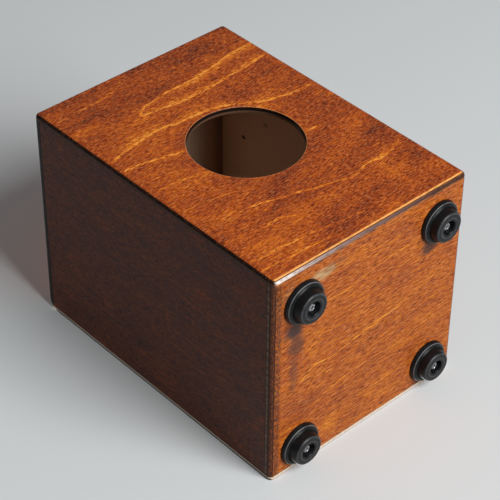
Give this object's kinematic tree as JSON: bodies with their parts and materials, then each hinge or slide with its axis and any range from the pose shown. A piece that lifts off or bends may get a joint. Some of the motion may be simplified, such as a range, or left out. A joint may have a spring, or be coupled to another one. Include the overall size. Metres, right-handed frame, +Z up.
{
  "type": "snare cajon",
  "caption": "Small plywood box drum with a round sound hole in the rear panel, a screwed-on playing face, internal sprung snares and stepped rubber feet.",
  "frame": {"origin": "on the ground, under the middle of the box", "axes": "+Z up through the seat, -Y out of the playing face (tapa), +Y out of the sound hole, +X to the right as seen from in front of the tapa"},
  "size_m": [0.22, 0.22, 0.323],
  "materials": {
    "stained_ply": "amber-brown stained plywood under glossy varnish, flamed grain, darker ply edges",
    "tapa_ply": "thin stained plywood with a satin varnish and a bare pale edge",
    "bare_wood": "unfinished sanded softwood",
    "foot_rubber": "moulded black rubber, slightly shiny on the ridges",
    "screw_steel": "bright zinc-plated steel",
    "wire_steel": "coiled spring steel",
    "plate_brass": "stamped sheet brass",
    "felt": "dark grey pressed felt"
  },
  "bodies": {
    "box": {"seat_panel": "stained_ply", "bottom_panel": "stained_ply", "left_side_panel": "stained_ply", "right_side_panel": "stained_ply", "rear_panel": "stained_ply", "tapa": "tapa_ply", "top_front_batten": "bare_wood", "panel_dowels": "bare_wood", "tapa_screws": "screw_steel", "front_left_foot": "foot_rubber", "front_right_foot": "foot_rubber", "rear_left_foot": "foot_rubber", "rear_right_foot": "foot_rubber", "foot_washers": "screw_steel", "foot_screws": "screw_steel", "snare_bar": "bare_wood", "left_bar_block": "bare_wood", "right_bar_block": "bare_wood", "snare_felt": "felt", "left_snare_plate": "plate_brass", "right_snare_plate": "plate_brass", "snare_screws": "screw_steel"},
    "left_snare": {"left_snare_wires": "wire_steel"},
    "right_snare": {"right_snare_wires": "wire_steel"}
  },
  "joints": [
    {"name": "left_snare_flex", "type": "hinge", "parent": "box", "child": "left_snare", "pos_m": [-0.05, -0.09754, 0.23146], "axis": [-1, 0, 0], "range_deg": [0, 5], "stiffness_Nm_per_rad": 0.05, "springref_deg": -2.86},
    {"name": "right_snare_flex", "type": "hinge", "parent": "box", "child": "right_snare", "pos_m": [0.05, -0.09754, 0.23146], "axis": [-1, 0, 0], "range_deg": [0, 5], "stiffness_Nm_per_rad": 0.05, "springref_deg": -2.86}
  ]
}
